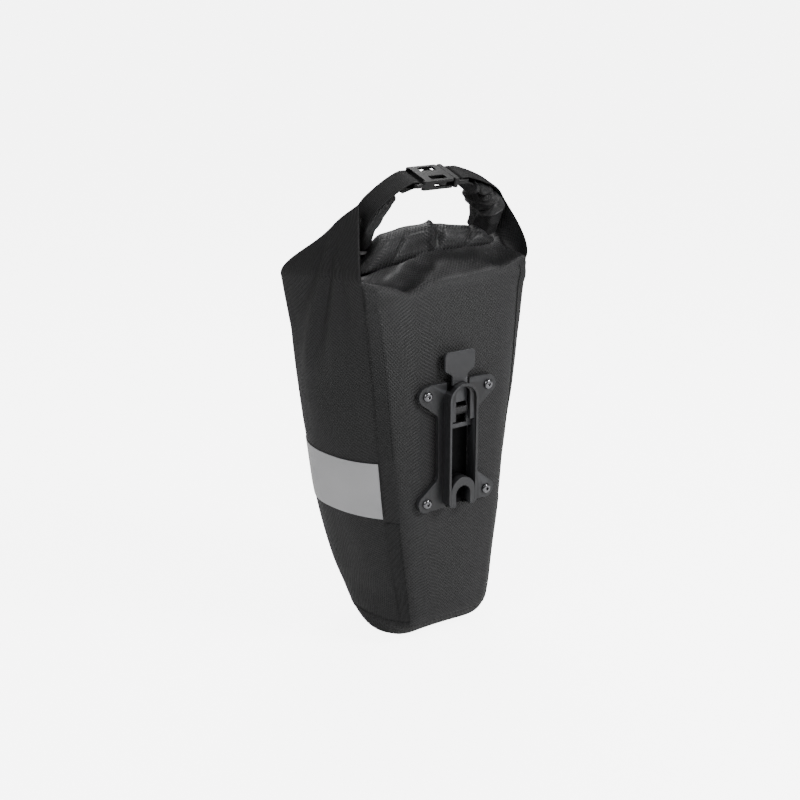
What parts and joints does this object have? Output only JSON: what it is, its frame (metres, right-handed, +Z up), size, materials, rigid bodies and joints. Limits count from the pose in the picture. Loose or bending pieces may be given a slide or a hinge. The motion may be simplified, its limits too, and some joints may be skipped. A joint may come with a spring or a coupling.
{
  "type": "pannier bag",
  "caption": "Small roll-top pannier bag with a welded waterproof body, a reflective band, a buckled handle loop and a drop-on rack bracket with a sprung release tab.",
  "frame": {"origin": "centre of the rounded lower stud seat, on the bracket's front rim, the plane that meets the rack", "axes": "+Z up along the bag as it hangs, +Y from the rack into the bag, +X to the right when the bracket is looked at"},
  "size_m": [0.217, 0.1749, 0.4484],
  "materials": {
    "fabric_body": "coated ripstop, fine diagonal weave, satin",
    "fabric_back": "coated ripstop, fine diagonal weave, satin",
    "seam_tape": "welded seam tape, satin",
    "reflective": "reflective grey band, fine weave",
    "webbing": "ribbed webbing",
    "thread": "stitching thread",
    "buckle_plastic": "moulded, glossy",
    "bracket_plastic": "moulded, fine grain",
    "seat_plastic": "moulded, satin",
    "tab_plastic": "moulded, satin",
    "pawl_plastic": "moulded",
    "gasket": "matte",
    "board": "extruded sheet",
    "backing_metal": "brushed",
    "screw_chrome": "polished",
    "steel": "zinc plated",
    "spring_steel": "bright wire"
  },
  "bodies": {
    "bag": {"back_panel": "fabric_back", "wrap_panel": "fabric_body", "bottom_panel": "fabric_body", "left_seam_tape": "seam_tape", "right_seam_tape": "seam_tape", "bottom_seam_tape": "seam_tape", "reflective_band": "reflective", "back_slope": "fabric_back", "front_slope": "fabric_body", "left_gable": "fabric_body", "right_gable": "fabric_body", "roll_tube": "fabric_body", "mouth_stiffener": "board", "stiffener_board": "board", "backing_plate": "backing_metal", "mount_gasket": "gasket", "mount_plate": "bracket_plastic", "lower_seat": "seat_plastic", "latch_spring": "spring_steel", "bracket_screws": "screw_chrome", "bracket_washers": "steel", "bracket_nuts": "steel"},
    "latch": {"latch_slider": "tab_plastic"},
    "pawl": {"latch_pawl": "pawl_plastic"},
    "left_end": {"left_roll_end": "fabric_body", "left_webbing": "webbing", "left_bar_tack": "thread", "buckle_female": "buckle_plastic"},
    "right_end": {"right_roll_end": "fabric_body", "right_webbing": "webbing", "right_bar_tack": "thread", "buckle_male": "buckle_plastic"},
    "prong_front": {"prong_front": "buckle_plastic"},
    "prong_back": {"prong_back": "buckle_plastic"}
  },
  "joints": [
    {"name": "latch_slide", "type": "slide", "parent": "bag", "child": "latch", "axis": [0, 0, 1], "range_m": [0, 0.008], "stiffness_N_per_m": 500, "springref_m": -0.003, "deforming": ["latch_spring"]},
    {"name": "pawl_slide", "type": "slide", "parent": "bag", "child": "pawl", "axis": [0, 1, 0], "range_m": [0, 0.003]},
    {"name": "left_end_part", "type": "slide", "parent": "bag", "child": "left_end", "axis": [-1, 0, 0], "range_m": [0, 0.014]},
    {"name": "right_end_part", "type": "slide", "parent": "bag", "child": "right_end", "axis": [1, 0, 0], "range_m": [0, 0.014]},
    {"name": "prong_front_squeeze", "type": "hinge", "parent": "right_end", "child": "prong_front", "pos_m": [0.0181, 0.04622, 0.28319], "axis": [0, 0.309, -0.9511], "range_deg": [0, 7], "stiffness_Nm_per_rad": 0.3},
    {"name": "prong_back_squeeze", "type": "hinge", "parent": "right_end", "child": "prong_back", "pos_m": [0.0181, 0.06258, 0.2885], "axis": [0, -0.309, 0.9511], "range_deg": [0, 7], "stiffness_Nm_per_rad": 0.3}
  ],
  "couplings": [
    {"joint": "pawl_slide", "follows": "latch_slide", "ratio": 0.375},
    {"joint": "right_end_part", "follows": "left_end_part", "ratio": 1},
    {"joint": "prong_back_squeeze", "follows": "prong_front_squeeze", "ratio": 1}
  ]
}
